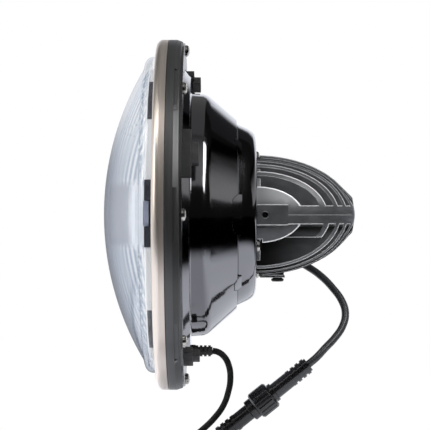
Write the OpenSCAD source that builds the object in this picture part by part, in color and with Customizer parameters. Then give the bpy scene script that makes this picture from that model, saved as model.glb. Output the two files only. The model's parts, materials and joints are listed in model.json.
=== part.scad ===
// LED motorcycle headlight insert for a seven inch bowl, with its leads.
// X runs backwards along the optical axis and Z is up. The origin is on that axis,
// at the middle of the straight band round the rim. Angles round the axis start at
// the top and grow towards -Y.

/* [Rim] */
// Diameter of the straight band round the rim
rim_d = 178; // [172:1:188]
// Length of the straight band
band_w = 4; // [3:0.5:5]
// Length of the tapered part of the ring behind the band
taper_w = 3; // [2.5:0.5:5]
// How much the radius drops over the tapered part
taper_drop = 0.8; // [0.4:0.1:1.4]
// How far the ring's spigot reaches into the bezel
spigot_w = 1.5; // [1:0.25:2.5]
// Thickness of the bezel's sheet
bezel_t = 1; // [0.6:0.1:1.4]
// How far the bezel's lip bulges in front of its flat seat
bezel_bulge = 1.4; // [1:0.1:2.5]
// Thickness of the ring from the band to its bore
ring_depth = 10; // [9:0.25:11]
// Width of the ledge inside the ring
ledge_w = 3.5; // [2:0.25:5]
// Thickness of the ledge inside the ring
ledge_t = 1.5; // [1:0.25:2]

/* [Lens] */
// How far the lens stands in from the rim where it leaves the bezel
lens_in = 8.5; // [7.5:0.25:9]
// Radius of the lens dome
dome_r = 144; // [125:1:170]
// Radius of the rounded corner between dome and skirt
corner_r = 4.1; // [3:0.1:5]
// Wall of the lens
lens_wall = 2.2; // [1.8:0.1:2.4]
// Length of the skirt in front of the bezel's lip
skirt_w = 3.4; // [2:0.1:5]
// Thickness of the flange that the bezel holds
flange_t = 2; // [1.5:0.1:3]
// Thickness of the seal behind that flange
seal_t = 1; // [0.8:0.1:2]
// Distance from one flute to the next
flute_pitch = 5.7; // [4:0.1:8]
// Depth of a flute
flute_h = 0.7; // [0.3:0.1:1.2]
// Half height of the clear band across the middle
clear_h = 15.6; // [8:0.2:24]
// Height at which the fluting breaks into a second tier
tier_h = 42.5; // [36:0.5:50]

/* [Optics] */
// Reflector's mouth as a share of the pan's diameter
mouth_share = 0.956; // [0.92:0.004:0.972]
// Depth of the reflector bowl
bowl_depth = 27.5; // [25:0.5:28]
// Wall of the reflector
bowl_t = 1.5; // [1:0.1:2]
// How far the inner trim stands in from the ring's bore
trim_in = 4.5; // [4.25:0.25:6]
// Wall of the inner trim
trim_t = 1.3; // [1:0.1:2]
// Height of the inner trim above the reflector's flange
trim_h = 11; // [9:0.25:11.2]
// Height of the middle bar
bar_h = 31; // [24:0.5:36]
// Depth of the middle bar
bar_t = 4.6; // [4:0.1:5]
// Height of the light guide in the middle bar
guide_h = 11.6; // [6:0.2:16]
// Thickness of the plate that carries the light sources
carrier_t = 5; // [3:0.5:6]
// Width of that plate as a share of the heatsink's diameter
carrier_share = 0.72; // [0.6:0.02:0.76]

/* [Pan] */
// How far the pan's flange stands in from the rim
pan_flange_in = 8.5; // [8:0.25:9.5]
// How far the pan's shoulder stands in from the rim
shoulder_in = 15; // [14:0.5:18]
// How far the shoulder stands behind the ring
shoulder_h = 4; // [3:0.25:5]
// Pan's wall as a share of the shoulder's diameter
pan_share = 0.838; // [0.82:0.002:0.87]
// Length of the pan's wall
pan_wall_l = 8; // [6:0.5:12]
// Length of the pan's cone
cone_l = 15; // [13:0.5:20]
// Pan's rear edge as a share of its wall's diameter
pan_rear_share = 0.782; // [0.76:0.002:0.8]
// Wall of the pan and of the rear cap
wall = 2; // [1.6:0.1:2.4]

/* [Rear cap] */
// Cap's front edge as a share of the pan's rear edge
cap_share = 0.955; // [0.93:0.005:0.96]
// Length of the cap behind the seam
cap_l = 9; // [7:0.5:14]
// Cap's rear face as a share of its front edge
cap_face_share = 0.86; // [0.82:0.01:0.9]
// Width of the seam between pan and cap
seam_w = 0.6; // [0.3:0.1:1]
// Depth of the cap's tabs in the pan's edge
tab_depth = 2.6; // [1:0.1:3.5]

/* [Heatsink] */
// Heatsink's base as a share of the cap's rear face
sink_share = 0.766; // [0.73:0.002:0.77]
// Length of the heatsink
sink_l = 51; // [42:1:70]
// Distance from one fin to the next
fin_pitch = 4.5; // [3.8:0.1:5]
// Thickness of a fin
fin_t = 1.9; // [1.2:0.1:2.4]
// Thickness of the level web through the fins
web_t = 9; // [6:0.5:12]
// Thickness of the heatsink's base
sink_base_t = 2; // [1.5:0.25:4]
// Radius of the blunt end of the fins
blunt_r = 9.2; // [6:0.2:12]

/* [Fasteners] */
// Number of screws round the ring
ring_screw_n = 8; // [4:1:12]
// How far the ring screws stand in from the rim
ring_screw_in = 5; // [4.6:0.2:5.6]
// Diameter of a screw head
head_d = 5.8; // [5:0.1:6.2]
// Height of a screw head
head_h = 2.2; // [1.4:0.1:2.6]
// Diameter of a screw's shank
shank_d = 3; // [2.5:0.1:3.2]

/* [Lugs and vent] */
// Number of locating lugs
lug_n = 4; // [3:1:4]
// Angle of the first locating lug
lug_a = 68; // [60:1:75]
// Length of a lug along the rim
lug_l = 23.8; // [14:0.2:26]
// Height of a lug's wall behind the ring
lug_h = 5.2; // [4.5:0.1:6]
// Length of the key on a lug
key_l = 10.9; // [6:0.1:13]
// Height of the key on a lug
key_h = 3.4; // [2:0.1:5]
// Diameter of the breather plug
vent_d = 6.4; // [5:0.2:7]

/* [Leads] */
// Diameter of the lamp lead
lead_d = 3.9; // [3:0.1:4.4]
// Diameter of the braided marker lead
marker_d = 3.2; // [2.4:0.1:3.8]
// Diameter of the connector's coupling nut
nut_d = 14.2; // [12:0.2:18]
// Length of the coupling nut
nut_l = 10.4; // [8:0.2:14]
// Half of the whole length of the inline connector
connector_half = 29; // [26:0.5:34]
// Diameter of the connector's bodies
body_d = 8.2; // [7:0.2:10]
// Diameter of the connector's ribbed ends
boot_d = 8.6; // [7.4:0.2:10]
// Length of the connector's ribbed ends
boot_l = 12; // [8:0.5:16]

/* [Hidden] */

curve_fn = 120;
small_fn = 48;
// Clearance of parts that slide together, of parts that seat on each other, and of a
// screw in its hole
fit = 0.2;
seat = 0.1;
screw_gap = 0.1;
// A cut runs past a face by this much
over = 1;

// Radii
rim_r = rim_d / 2;
bore_r = rim_r - ring_depth;
ledge_r = bore_r - ledge_w;
lens_r = rim_r - lens_in;
lens_in_r = lens_r - lens_wall;
spigot_r = rim_r - bezel_t - fit;
flange_r = spigot_r - fit;
ring_rear_r = rim_r - taper_drop - 0.5;
ring_screw_r = rim_r - ring_screw_in;
shoulder_r = rim_r - shoulder_in;
plate_out_r = ring_rear_r - 0.4;
plate_in_r = shoulder_r + fit;
pan_flange_r = rim_r - pan_flange_in;
pan_r = shoulder_r * pan_share;
pan_rear_r = pan_r * pan_rear_share;
cap_r = pan_rear_r * cap_share;
cap_face_r = cap_r * cap_face_share;
sink_r = cap_face_r * sink_share;
cap_screw_r = sink_r;
cap_screw_a = [17, 120, 163];
hub_r = sink_r * 0.656;
trim_r = bore_r - trim_in;
mouth_r = pan_r * mouth_share;
carrier_w = 2 * sink_r * carrier_share;
head_r = head_d / 2;
shank_r = shank_d / 2;

// Stations along the axis, from the front to the back
seam_x = -band_w / 2;
spigot_x = seam_x - spigot_w;
flange_back_x = spigot_x - seal_t;
lip_x = flange_back_x - flange_t;
corner_x = lip_x - skirt_w;
ring_back_x = band_w / 2 + taper_w;
pan_seal_t = 0.8;
pan_flange_t = 1.7;
ledge_back_x = ring_back_x - pan_flange_t - pan_seal_t;
ledge_x = ledge_back_x - ledge_t;
reflector_x = ledge_x - bowl_t;
trim_front_x = reflector_x - trim_h;
bar_x = trim_front_x;
bar_back_x = bar_x + bar_t;
plate_t = 1;
plate_back_x = ring_back_x + plate_t;
shoulder_x = ring_back_x + shoulder_h;
pan_wall_x = shoulder_x + pan_wall_l;
pan_rear_x = pan_wall_x + cone_l;
cap_x = pan_rear_x + seam_w;
cap_back_x = cap_x + cap_l;
cap_in_x = cap_back_x - wall;
carrier_flange_t = 2.5;
carrier_flange_x = cap_in_x - carrier_flange_t;

// The dome ends on a narrow flat in front of the rounded corner
corner_in = lens_r - corner_r;
dome_edge = corner_in - 0.9;
dome_x = corner_x - corner_r + sqrt(dome_r * dome_r - dome_edge * dome_edge);
dome_a = asin(dome_edge / dome_r);
dome_in_a = acos((dome_x - corner_x + corner_r - lens_wall) / (dome_r - lens_wall));

// Points of an arc in a turned profile: radius first, then station. Angle 0 faces
// forward and 90 faces outward.
function arc(c, r, a0, a1, n) =
    [for (i = [0 : n]) let (a = a0 + (a1 - a0) * i / n) [c[0] + r * sin(a), c[1] - r * cos(a)]];

// A solid turned about the optical axis
module turned(profile) {
    rotate([0, 90, 0]) rotate_extrude($fn = curve_fn) polygon(profile);
}

// A tube along the axis
module ring(r_out, r_in, x0, x1) {
    turned([[r_in, x0], [r_out, x0], [r_out, x1], [r_in, x1]]);
}

// Child turned round the axis and set at a radius: its Z points outwards
module at(angle, radius) {
    rotate([angle, 0, 0]) translate([0, 0, radius]) children();
}

module around(count, radius, start = 0) {
    for (i = [0 : count - 1]) at(start + i * 360 / count, radius) children();
}

// Children at the cap's screws, the same on both sides
module cap_screw_places() {
    for (s = [-1, 1], a = cap_screw_a) at(s * a, cap_screw_r) children();
}

// A rod along X from station x0 to x1
module rod(r, x0, x1, fn = small_fn) {
    translate([x0, 0, 0]) rotate([0, 90, 0]) cylinder(r = r, h = x1 - x0, $fn = fn);
}

// A box given by its two corners
module block(low, high) {
    translate(low) cube(high - low);
}

// A wedge about the axis, half_a degrees to each side of the angle
module sector(angle, half_a, r, x0, x1) {
    rotate([angle, 0, 0]) translate([x0, 0, 0]) rotate([0, 90, 0])
        linear_extrude(height = x1 - x0)
            polygon([[0, 0], [-r, -r * tan(half_a)], [-r, r * tan(half_a)]]);
}

// A pan-head screw with a cross recess: its head sits behind the plane x = 0
recess_w = 0.7;
recess_l = 3.2;
recess_h = 1.1;
module screw(shank_l) {
    difference() {
        rotate([0, 90, 0]) rotate_extrude($fn = small_fn)
            polygon(concat([[0, -shank_l], [shank_r, -shank_l], [shank_r, 0], [head_r, 0],
                [head_r, head_h * 0.4]],
                [for (a = [30 : 20 : 90]) [head_r * cos(a), head_h * (0.4 + 0.6 * sin(a))]]));
        for (a = [0, 90]) rotate([a, 0, 0])
            translate([head_h - recess_h, -recess_l / 2, -recess_w / 2])
                cube([recess_h + over, recess_l, recess_w]);
    }
}

// Lens
lens_n = 24;
module lens_shell() {
    turned(concat(
        arc([0, dome_x], dome_r, 0, dome_a, lens_n),
        arc([corner_in, corner_x], corner_r, 0, 90, 8),
        [[lens_r, lip_x], [flange_r, lip_x], [flange_r, flange_back_x], [lens_in_r, flange_back_x]],
        arc([corner_in, corner_x], corner_r - lens_wall, 90, 0, 6),
        arc([0, dome_x], dome_r - lens_wall, dome_in_a, 0, lens_n)));
}

// The flutes are upright ridges on the dome's inner face. Their section is turned about
// a level line through the dome's centre, so that each ridge follows the dome.
flute_n = 2 * floor((trim_r - 8) / flute_pitch) + 1;
flute_reach = flute_n * flute_pitch / 2;
flute_edge_r = trim_r - 2;
in_r = dome_r - lens_wall;
function bow(y) = sqrt(in_r * in_r - y * y);
function ridge(y) = bow(y) - flute_h * (0.5 + 0.5 * cos(360 * y / flute_pitch));
flute_step = flute_pitch / 4;
module flutes() {
    ys = [for (i = [0 : 4 * flute_n]) -flute_reach + i * flute_step];
    inner = [for (y = ys) [ridge(y), y]];
    outer = [for (i = [4 * flute_n : -2 : 0]) [bow(ys[i]) + lens_wall / 2, ys[i]]];
    intersection() {
        translate([dome_x, 0, 0]) rotate([0, -90, 0]) rotate([-90, 0, 0]) rotate([0, 0, -40])
            rotate_extrude(angle = 80, $fn = curve_fn) polygon(concat(inner, outer));
        rod(flute_edge_r, dome_x - dome_r, corner_x, curve_fn);
        union() {
            for (s = [-1, 1]) {
                block([dome_x - dome_r, -flute_reach, s > 0 ? clear_h : -tier_h + 0.3],
                    [corner_x, flute_reach, s > 0 ? tier_h - 0.3 : -clear_h]);
                block([dome_x - dome_r, -flute_reach, s > 0 ? tier_h + 0.3 : -trim_r],
                    [corner_x, flute_reach, s > 0 ? trim_r : -tier_h - 0.3]);
            }
        }
    }
}

module lens() {
    color([0.8, 0.87, 0.92, 0.4]) union() {
        lens_shell();
        flutes();
    }
}

module lens_seal() {
    color([0.1, 0.1, 0.1]) ring(flange_r - seat, bore_r + 0.5, flange_back_x, spigot_x);
}

// Bezel: a rolled sheet whose lip holds the lens flange against its seal
bezel_lip_r = lens_r + 0.5;
roll_r = 3.2;
module bezel() {
    lip_front = lip_x - bezel_t;
    bulge_x = lip_x - bezel_bulge;
    color([0.72, 0.66, 0.6]) turned(concat(
        [[bezel_lip_r, lip_x], [bezel_lip_r, lip_front], [bezel_lip_r + 1.2, bulge_x],
        [rim_r - roll_r, bulge_x]],
        arc([rim_r - roll_r, bulge_x + roll_r], roll_r, 15, 90, 6),
        [[rim_r, seam_x], [rim_r - bezel_t, seam_x]],
        arc([rim_r - roll_r, bulge_x + roll_r], roll_r - bezel_t, 90, 60, 2),
        [[flange_r, lip_x]]));
}

// Ring: the band that seats in the bowl, with the ledge that carries reflector and pan
recess_half_a = 8;
recess_depth = 0.3;
ring_recesses = [47.3, 90, 132.7, -47.3, -90, -132.7];
module rim_ring() {
    recess_r = pan_flange_r + fit;
    color([0.2, 0.21, 0.22]) difference() {
        turned([[bore_r, spigot_x], [spigot_r, spigot_x], [spigot_r, seam_x + fit],
            [rim_r - 0.2, seam_x + fit], [rim_r, seam_x + fit + 0.2], [rim_r, band_w / 2],
            [rim_r - taper_drop, ring_back_x - 0.5], [ring_rear_r, ring_back_x],
            [recess_r, ring_back_x], [recess_r, ledge_back_x], [ledge_r, ledge_back_x], [ledge_r, ledge_x],
            [bore_r, ledge_x]]);
        around(ring_screw_n, ring_screw_r)
            rod(shank_r + screw_gap, ring_back_x - ring_screw_l, ring_back_x + over);
        for (a = ring_recesses) intersection() {
            ring(rim_r + over, rim_r - taper_drop * 0.4 - recess_depth, band_w / 2, ring_back_x + over);
            sector(a, recess_half_a, rim_r + over, band_w / 2, ring_back_x + over);
        }
    }
}

// Retaining plate: a thin ring that the screws press on the pan's flange, notched for
// the lugs
ring_screw_l = 5;
lug_r = shoulder_r + 1.9;
lug_half_a = lug_l / 2 / lug_r * 180 / PI;
lug_wall = 3.4;
module retaining_plate() {
    color([0.1, 0.1, 0.11]) difference() {
        ring(plate_out_r, plate_in_r, ring_back_x, plate_back_x);
        around(ring_screw_n, ring_screw_r) rod(shank_r + screw_gap, ring_back_x - over, plate_back_x + over);
        intersection() {
            union() for (i = [0 : 3])
                sector(lug_a + i * 360 / lug_n, lug_half_a + 0.3, rim_r, ring_back_x - over,
                    plate_back_x + over);
            rod(lug_r + lug_wall / 2 + fit, ring_back_x - over, plate_back_x + over, curve_fn);
        }
    }
}

module ring_screws() {
    color([0.75, 0.74, 0.7]) around(ring_screw_n, ring_screw_r)
        translate([plate_back_x, 0, 0]) screw(ring_screw_l - plate_t / 2);
}

// Locating lug: a curved wall on the pan's flange with a key block behind it
lug_base_x = ring_back_x;
module locating_lug(i) {
    a = lug_a + i * 360 / lug_n;
    key_half_a = key_l / 2 / lug_r * 180 / PI;
    wall_back_x = lug_base_x + lug_h;
    r0 = lug_r - lug_wall / 2 + fit;
    color([0.13, 0.13, 0.13]) union() {
        intersection() {
            ring(lug_r + lug_wall / 2, r0, lug_base_x, wall_back_x);
            sector(a, lug_half_a, rim_r, lug_base_x, wall_back_x);
        }
        intersection() {
            ring(lug_r + 0.8, r0 - 1.6, shoulder_x + seat, wall_back_x + key_h);
            sector(a, key_half_a, rim_r, lug_base_x, wall_back_x + key_h);
        }
    }
}

// Reflector: a bowl of parabolic section with a flange that rests on the ring's ledge
bowl_x = reflector_x + bowl_depth;
focal = mouth_r * mouth_r / (4 * bowl_depth);
bowl_n = 20;
function bowl_point(r, off) = [r + off * r / sqrt(r * r + 4 * focal * focal),
    bowl_x - r * r / (4 * focal) + off * 2 * focal / sqrt(r * r + 4 * focal * focal)];
board_t = 1.2;
slot_h = carrier_t / 2 + board_t + 0.9;
module reflector() {
    reflector_r = bore_r - fit;
    color([0.9, 0.9, 0.92]) difference() {
        turned(concat(
            [for (i = [0 : bowl_n]) bowl_point(mouth_r * i / bowl_n, 0)],
            [[reflector_r, reflector_x], [reflector_r, ledge_x], [mouth_r + bowl_t, ledge_x]],
            [for (i = [bowl_n - 1 : -1 : 0]) bowl_point(mouth_r * i / bowl_n, bowl_t)]));
        block([0, -carrier_w / 2 - 1, -slot_h], [bowl_x + 2 * bowl_t, carrier_w / 2 + 1, slot_h]);
    }
}

// Inner trim: a channel round the reflector's mouth, open for the bar at both sides
bar_low = -bar_h / 2 + 0.6;
module inner_trim() {
    in = mouth_r + 1.7;
    foot_r = bore_r - fit - 0.2;
    round = 1;
    color([0.93, 0.94, 0.95]) difference() {
        turned(concat(
            [[in, reflector_x], [in, trim_front_x + round]],
            arc([in + round, trim_front_x + round], round, -90, 0, 4),
            arc([trim_r - round, trim_front_x + round], round, 0, 90, 4),
            [[trim_r, reflector_x - trim_t], [foot_r, reflector_x - trim_t], [foot_r, reflector_x],
            [trim_r - trim_t, reflector_x], [trim_r - trim_t, trim_front_x + trim_t],
            [in + trim_t, trim_front_x + trim_t], [in + trim_t, reflector_x]]));
        block([bar_x - over, -rim_r, bar_low - fit], [bar_back_x + fit, rim_r, bar_low + bar_h + fit]);
        for (a = insert_a) intersection() {
            ring(trim_r + over, trim_r - insert_t - seat, insert_x0 - seat, insert_x1 + seat);
            sector(a, insert_half + 0.2, rim_r, insert_x0 - seat, insert_x1 + seat);
        }
    }
}

// Dark inserts let into the trim's outer wall, two to each side
insert_a = [41.4, 138.6, -41.4, -138.6];
insert_half = 11.4;
insert_t = trim_t * 0.54;
insert_x0 = trim_front_x + trim_h * 0.075;
insert_x1 = insert_x0 + trim_h * 0.233;
module trim_inserts() {
    color([0.25, 0.26, 0.3]) for (a = insert_a) intersection() {
        ring(trim_r, trim_r - insert_t, insert_x0, insert_x1);
        sector(a, insert_half, rim_r, insert_x0, insert_x1);
    }
}

// Middle bar with its light guide and the guide's own board
guide_t = 2.6;
guide_low = bar_low + (bar_h - guide_h) / 2;
guide_gap = 0.15;
module bar_frame() {
    color([0.22, 0.22, 0.27]) difference() {
        intersection() {
            block([bar_x, -trim_r, bar_low], [bar_back_x, trim_r, bar_low + bar_h]);
            rod(trim_r - 0.1, bar_x - over, bar_back_x + over, curve_fn);
        }
        block([bar_x - over, -rim_r, guide_low - guide_gap],
            [bar_x + guide_t + board_t - 0.4, rim_r, guide_low + guide_h + guide_gap]);
    }
}

module light_guide() {
    color([0.72, 0.74, 0.85]) intersection() {
        block([bar_x - 0.5, -trim_r, guide_low], [bar_x + guide_t - 0.5, trim_r, guide_low + guide_h]);
        rod(trim_r - 1.3, bar_x - over, bar_back_x, curve_fn);
    }
}

module guide_board() {
    x0 = bar_x + guide_t - 0.4;
    color([0.9, 0.9, 0.88]) block([x0, -trim_r + 12, guide_low + 1],
        [x0 + board_t - 0.1, trim_r - 12, guide_low + guide_h - 1]);
}

// Carrier: the plate that holds the light sources, on a flange inside the cap
carrier_front_x = bar_back_x + 0.3;
carrier_flange_r = cap_screw_r + 4.5;
driver_r = cap_r - wall - 5;
standoff_at = [for (y = [-1, 1], z = [-1, 1]) [0.38 * y * driver_r, 0.51 * z * driver_r]];
driver_t = 1.6;
driver_x = carrier_flange_x - driver_t - 4.1;
sink_screw_at = hub_r * 0.425;
module led_carrier() {
    color([0.75, 0.76, 0.77]) difference() {
        union() {
            block([carrier_front_x, -carrier_w / 2, -carrier_t / 2],
                [carrier_flange_x + 0.1, carrier_w / 2, carrier_t / 2]);
            rod(carrier_flange_r, carrier_flange_x, cap_in_x, curve_fn);
            for (p = standoff_at) translate([0, p[0], p[1]])
                rod(2.5, driver_x + driver_t, carrier_flange_x + 0.1);
        }
        cap_screw_places() rod(shank_r + screw_gap, carrier_flange_x - over, cap_in_x + over);
        for (y = [-1, 1], z = [-1, 1]) translate([0, y * sink_screw_at, z * sink_screw_at])
            rod(shank_r + screw_gap, carrier_flange_x - over, cap_in_x + over);
        translate([0, gland_y, gland_z]) rod(lead_d / 2 + 2, carrier_flange_x - over, cap_in_x + over);
    }
}

led_x = max(bowl_x - focal, bar_back_x + 2.6);
led_board_l = 12;
led_pitch = carrier_w * 0.136;
led_w = led_pitch * 0.567;
led_t = board_t * 0.67;
module led_board(side) {
    z0 = carrier_t / 2;
    mirror([0, 0, side < 0 ? 1 : 0]) color([0.93, 0.93, 0.9])
        block([led_x - led_w / 2 - 0.4, -carrier_w / 2 + 2, z0],
            [led_x - led_w / 2 - 0.4 + led_board_l, carrier_w / 2 - 2, z0 + board_t]);
}
module led_chips(side) {
    z0 = carrier_t / 2 + board_t;
    mirror([0, 0, side < 0 ? 1 : 0]) color([0.95, 0.85, 0.3]) for (i = [-2 : 2])
        block([led_x - led_w / 2, i * led_pitch - led_w / 2, z0],
            [led_x + led_w / 2, i * led_pitch + led_w / 2, z0 + led_t]);
}
module led_board_top() { led_board(1); }
module led_board_bottom() { led_board(-1); }
module led_chips_top() { led_chips(1); }
module led_chips_bottom() { led_chips(-1); }

module driver_board() {
    color([0.1, 0.35, 0.2]) difference() {
        rod(driver_r, driver_x, driver_x + driver_t, curve_fn);
        block([driver_x - over, -carrier_w / 2 - 1, -carrier_t / 2 - 1],
            [driver_x + driver_t + over, carrier_w / 2 + 1, carrier_t / 2 + 1]);
    }
}

// A choke, capacitors and a switching chip on the driver board's front face
module driver_parts() {
    size = driver_r * 0.1;
    color([0.2, 0.2, 0.22]) {
        for (a = [15, 45]) at(a, driver_r - 1.5 * size) rod(size, driver_x - 1.2 * size, driver_x);
        at(170, driver_r - 1.8 * size) rod(1.25 * size, driver_x - 1.1 * size, driver_x);
        at(215, driver_r - 1.8 * size)
            block([driver_x - size / 2, -1.2 * size, -size], [driver_x, 1.2 * size, size]);
        at(-60, driver_r - 1.5 * size)
            block([driver_x - 0.8 * size, -size, -0.8 * size], [driver_x, size, 0.8 * size]);
    }
}

// Pan: the stepped housing behind the ring
foot_r = 1;
pan_notches = [for (s = [-1, 1]) each [[s * 90, pan_rear_r * 0.2, tab_depth],
    [s * 45, pan_rear_r * 0.08, tab_depth * 0.6], [s * 135, pan_rear_r * 0.08, tab_depth * 0.6]]];

// A notch given by its angle, half its width at the seam and its depth
module notch(n, depth, gap) {
    low = n[1] - depth + gap;
    at(n[0], 0) linear_extrude(height = rim_r)
        polygon([[pan_rear_x - depth, -low], [pan_rear_x, -n[1] - gap], [cap_x + 1.5, -n[1] - gap],
            [cap_x + 1.5, n[1] + gap], [pan_rear_x, n[1] + gap], [pan_rear_x - depth, low]]);
}
module pan() {
    front = ring_back_x - pan_flange_t;
    wall_end_r = pan_r - 0.4;
    in_cap_r = cap_r - wall;
    color([0.05, 0.05, 0.055]) difference() {
        turned(concat(
            [[pan_flange_r, front], [pan_flange_r, ring_back_x], [shoulder_r, ring_back_x],
            [shoulder_r, ring_back_x + 0.4], [shoulder_r - shoulder_h, shoulder_x],
            [pan_r + foot_r, shoulder_x]],
            [for (a = [0 : 22.5 : 90])
                [pan_r + foot_r - foot_r * sin(a), shoulder_x + foot_r - foot_r * cos(a)]],
            [[wall_end_r, pan_wall_x - 0.8], [wall_end_r - 0.4, pan_wall_x + 0.3],
            [wall_end_r - 1.1, pan_wall_x + 1.2], [pan_rear_r, pan_rear_x], [pan_rear_r - wall, pan_rear_x],
            [wall_end_r - 1.1 - wall, pan_wall_x + 0.6], [wall_end_r - wall, pan_wall_x - 0.8],
            [pan_r - wall, shoulder_x - wall], [shoulder_r - shoulder_h - wall, shoulder_x - wall],
            [ledge_r - 4, ring_back_x - 0.2], [ledge_r - 4, front]]));
        for (n = pan_notches) intersection() {
            ring(pan_rear_r + 9, pan_rear_r - wall - over, pan_rear_x - n[2], pan_rear_x + over);
            notch(n, n[2], 0.3);
        }
        translate([0, marker_route[0][1], marker_route[0][2]])
            rod(marker_d / 2 - 0.1, ring_back_x - over, shoulder_x + over);
    }
}

module pan_seal() {
    color([0.1, 0.1, 0.1]) ring(pan_flange_r - 0.3, ledge_r + 0.5, ledge_back_x, ledge_back_x + pan_seal_t);
}

// Rear cap: the second step, with tabs that fill the notches in the pan's edge
cap_spigot_l = 4;
cap_spigot_r = pan_rear_r - wall - fit;
module rear_cap() {
    color([0.05, 0.05, 0.055]) difference() {
        union() {
            turned(concat(
                [[cap_spigot_r, cap_x - seam_w - cap_spigot_l], [cap_spigot_r, cap_x], [cap_r, cap_x],
                [cap_r - 2.3, cap_x + cap_l * 0.57], [cap_face_r + 2.8, cap_back_x - 1.7],
                [cap_face_r + 1.6, cap_back_x - 0.6], [cap_face_r, cap_back_x],
                [hub_r, cap_back_x], [hub_r, cap_in_x], [cap_face_r, cap_in_x],
                [cap_face_r + 0.8, cap_in_x - 0.3], [cap_r - 2.3 - wall, cap_x + cap_l * 0.57 - 0.4],
                [cap_spigot_r - wall, cap_x], [cap_spigot_r - wall, cap_x - seam_w - cap_spigot_l]]));
            for (n = pan_notches) intersection() {
                turned([[cap_spigot_r - 0.5, pan_rear_x - n[2] + 0.3],
                    [tab_r(n[2] - 0.3), pan_rear_x - n[2] + 0.3], [pan_rear_r, pan_rear_x],
                    [cap_r, cap_x + 1.5], [cap_spigot_r - 0.5, cap_x + 1.5]]);
                notch(n, n[2] - 0.3, 0);
            }
        }
        cap_screw_places() rod(shank_r + fit, cap_in_x - over, cap_back_x + over);
        translate([0, gland_y, gland_z]) rod(lead_d / 2 + 1, cap_in_x - over, cap_back_x + over);
    }
}
cone_slope = (pan_r - 1.5 - pan_rear_r) / (cone_l - 1.2);
function tab_r(d) = pan_rear_r + d * cone_slope;

module cap_seal() {
    r = cap_spigot_r - wall;
    x0 = cap_x - seam_w - cap_spigot_l;
    color([0.12, 0.12, 0.12]) ring(cap_spigot_r, r, x0 - 0.9, x0 - 0.1);
}

module cap_screws() {
    color([0.75, 0.74, 0.7]) cap_screw_places() translate([cap_back_x, 0, 0])
        screw(wall + carrier_flange_t);
}

// Heatsink: upright fins cut from a rounded nose, joined by a level web
sink_x = cap_back_x;
nose_n = 12;
blunt_x = sink_l - 1.4;
nose_a = 60;
function nose(b) = concat(
    [[0, sink_x]],
    [for (i = [0 : nose_n]) let (a = nose_a * i / nose_n) [b * cos(a), sink_x + (sink_l - 0.8) * sin(a)]],
    [[blunt_r, sink_x + blunt_x], [blunt_r * 0.6, sink_x + blunt_x + 0.7], [2, sink_x + sink_l],
    [0, sink_x + sink_l]]);
side_bulge = 1.4;
module sink_envelope() {
    intersection() {
        turned(nose(sink_r));
        block([sink_x, -sink_r, 0], [sink_x + sink_l, sink_r, sink_r]);
    }
    intersection() {
        turned(nose(sink_r + side_bulge));
        translate([0, sink_r, 0]) rotate([90, 0, 0]) linear_extrude(height = 2 * sink_r)
            polygon([for (p = nose(sink_r)) [p[1], -p[0]]]);
    }
}

fin_side_n = floor((sink_r - 3.5 - fin_t / 2) / fin_pitch);
side_y = sink_r - 3.4;
pad_l = 15.3;
pad_h = 10;
pad_y = sink_r + 1.1;
short_fin_z = -sink_r * 0.367;
pocket_r = head_r + 0.7;
foot_x0 = sink_x + 3;
foot_x1 = sink_x + 14.4;
foot_w = 15;
foot_z = -sink_r - fit;
module heatsink() {
    color([0.3, 0.31, 0.33]) difference() {
        union() {
            intersection() {
                sink_envelope();
                union() {
                    block([sink_x, -sink_r, -web_t / 2], [sink_x + sink_l, sink_r, web_t / 2]);
                    rod(sink_r - 1, sink_x, sink_x + sink_base_t, curve_fn);
                    for (i = [-fin_side_n : fin_side_n]) {
                        low = abs(i) == fin_side_n ? short_fin_z : -sink_r - over;
                        block([sink_x, i * fin_pitch - fin_t / 2, low],
                            [sink_x + sink_l, i * fin_pitch + fin_t / 2, sink_r + over]);
                    }
                }
            }
            for (s = [-1, 1]) intersection() {
                turned(nose(sink_r));
                block([sink_x, s > 0 ? side_y : -sink_r, -sink_r],
                    [sink_x + sink_l, s > 0 ? sink_r : -side_y, sink_r]);
            }
            for (s = [-1, 1]) block([sink_x, s > 0 ? side_y : -pad_y, -pad_h / 2],
                [sink_x + pad_l, s > 0 ? pad_y : -side_y, pad_h / 2]);
            block([foot_x0, -foot_w / 2, foot_z], [foot_x1, foot_w / 2, -sink_r * 0.8]);
            rod(hub_r - fit, cap_in_x, sink_x + 0.5, curve_fn);
        }
        cap_screw_places() {
            rod(pocket_r, sink_x - over, sink_x + head_h + 0.6);
            block([sink_x - over, -pocket_r, 0], [sink_x + head_h + 0.6, pocket_r, 5]);
        }
        translate([0, gland_y, gland_z]) rod(gland_r + fit, sink_x - over, main_route[0][0]);
        for (s = [-1, 1]) translate([sink_x + 4.1, s * (pad_y - 7), 0]) rotate([-90 * s, 0, 0])
            cylinder(r = 1.6, h = 7 + over, $fn = small_fn);
        for (y = [-1, 1], z = [-1, 1]) translate([0, y * sink_screw_at, z * sink_screw_at])
            rod(shank_r + screw_gap, cap_in_x - over, cap_in_x + sink_screw_l);
    }
}

// The sink's screws stand inside the cap with their heads to the front
sink_screw_l = 6;
module sink_screws() {
    color([0.75, 0.74, 0.7]) for (y = [-1, 1], z = [-1, 1])
        translate([carrier_flange_x, y * sink_screw_at, z * sink_screw_at]) rotate([0, 0, 180])
            screw(carrier_flange_t + sink_screw_l - 0.5);
}

// Breather: a thin plate under the foot and a round plug on it
breather_t = 1.2;
vent_x = foot_x1 - 2.9;
plug_h = 2.2;
module breather_plate() {
    color([0.3, 0.3, 0.31]) difference() {
        block([foot_x0 - 0.6, -foot_w / 2, foot_z - breather_t], [foot_x1 + 0.5, foot_w / 2, foot_z]);
        translate([vent_x, 0, foot_z - breather_t - over]) cylinder(r = 2, h = breather_t + 2 * over,
            $fn = small_fn);
    }
}

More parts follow.
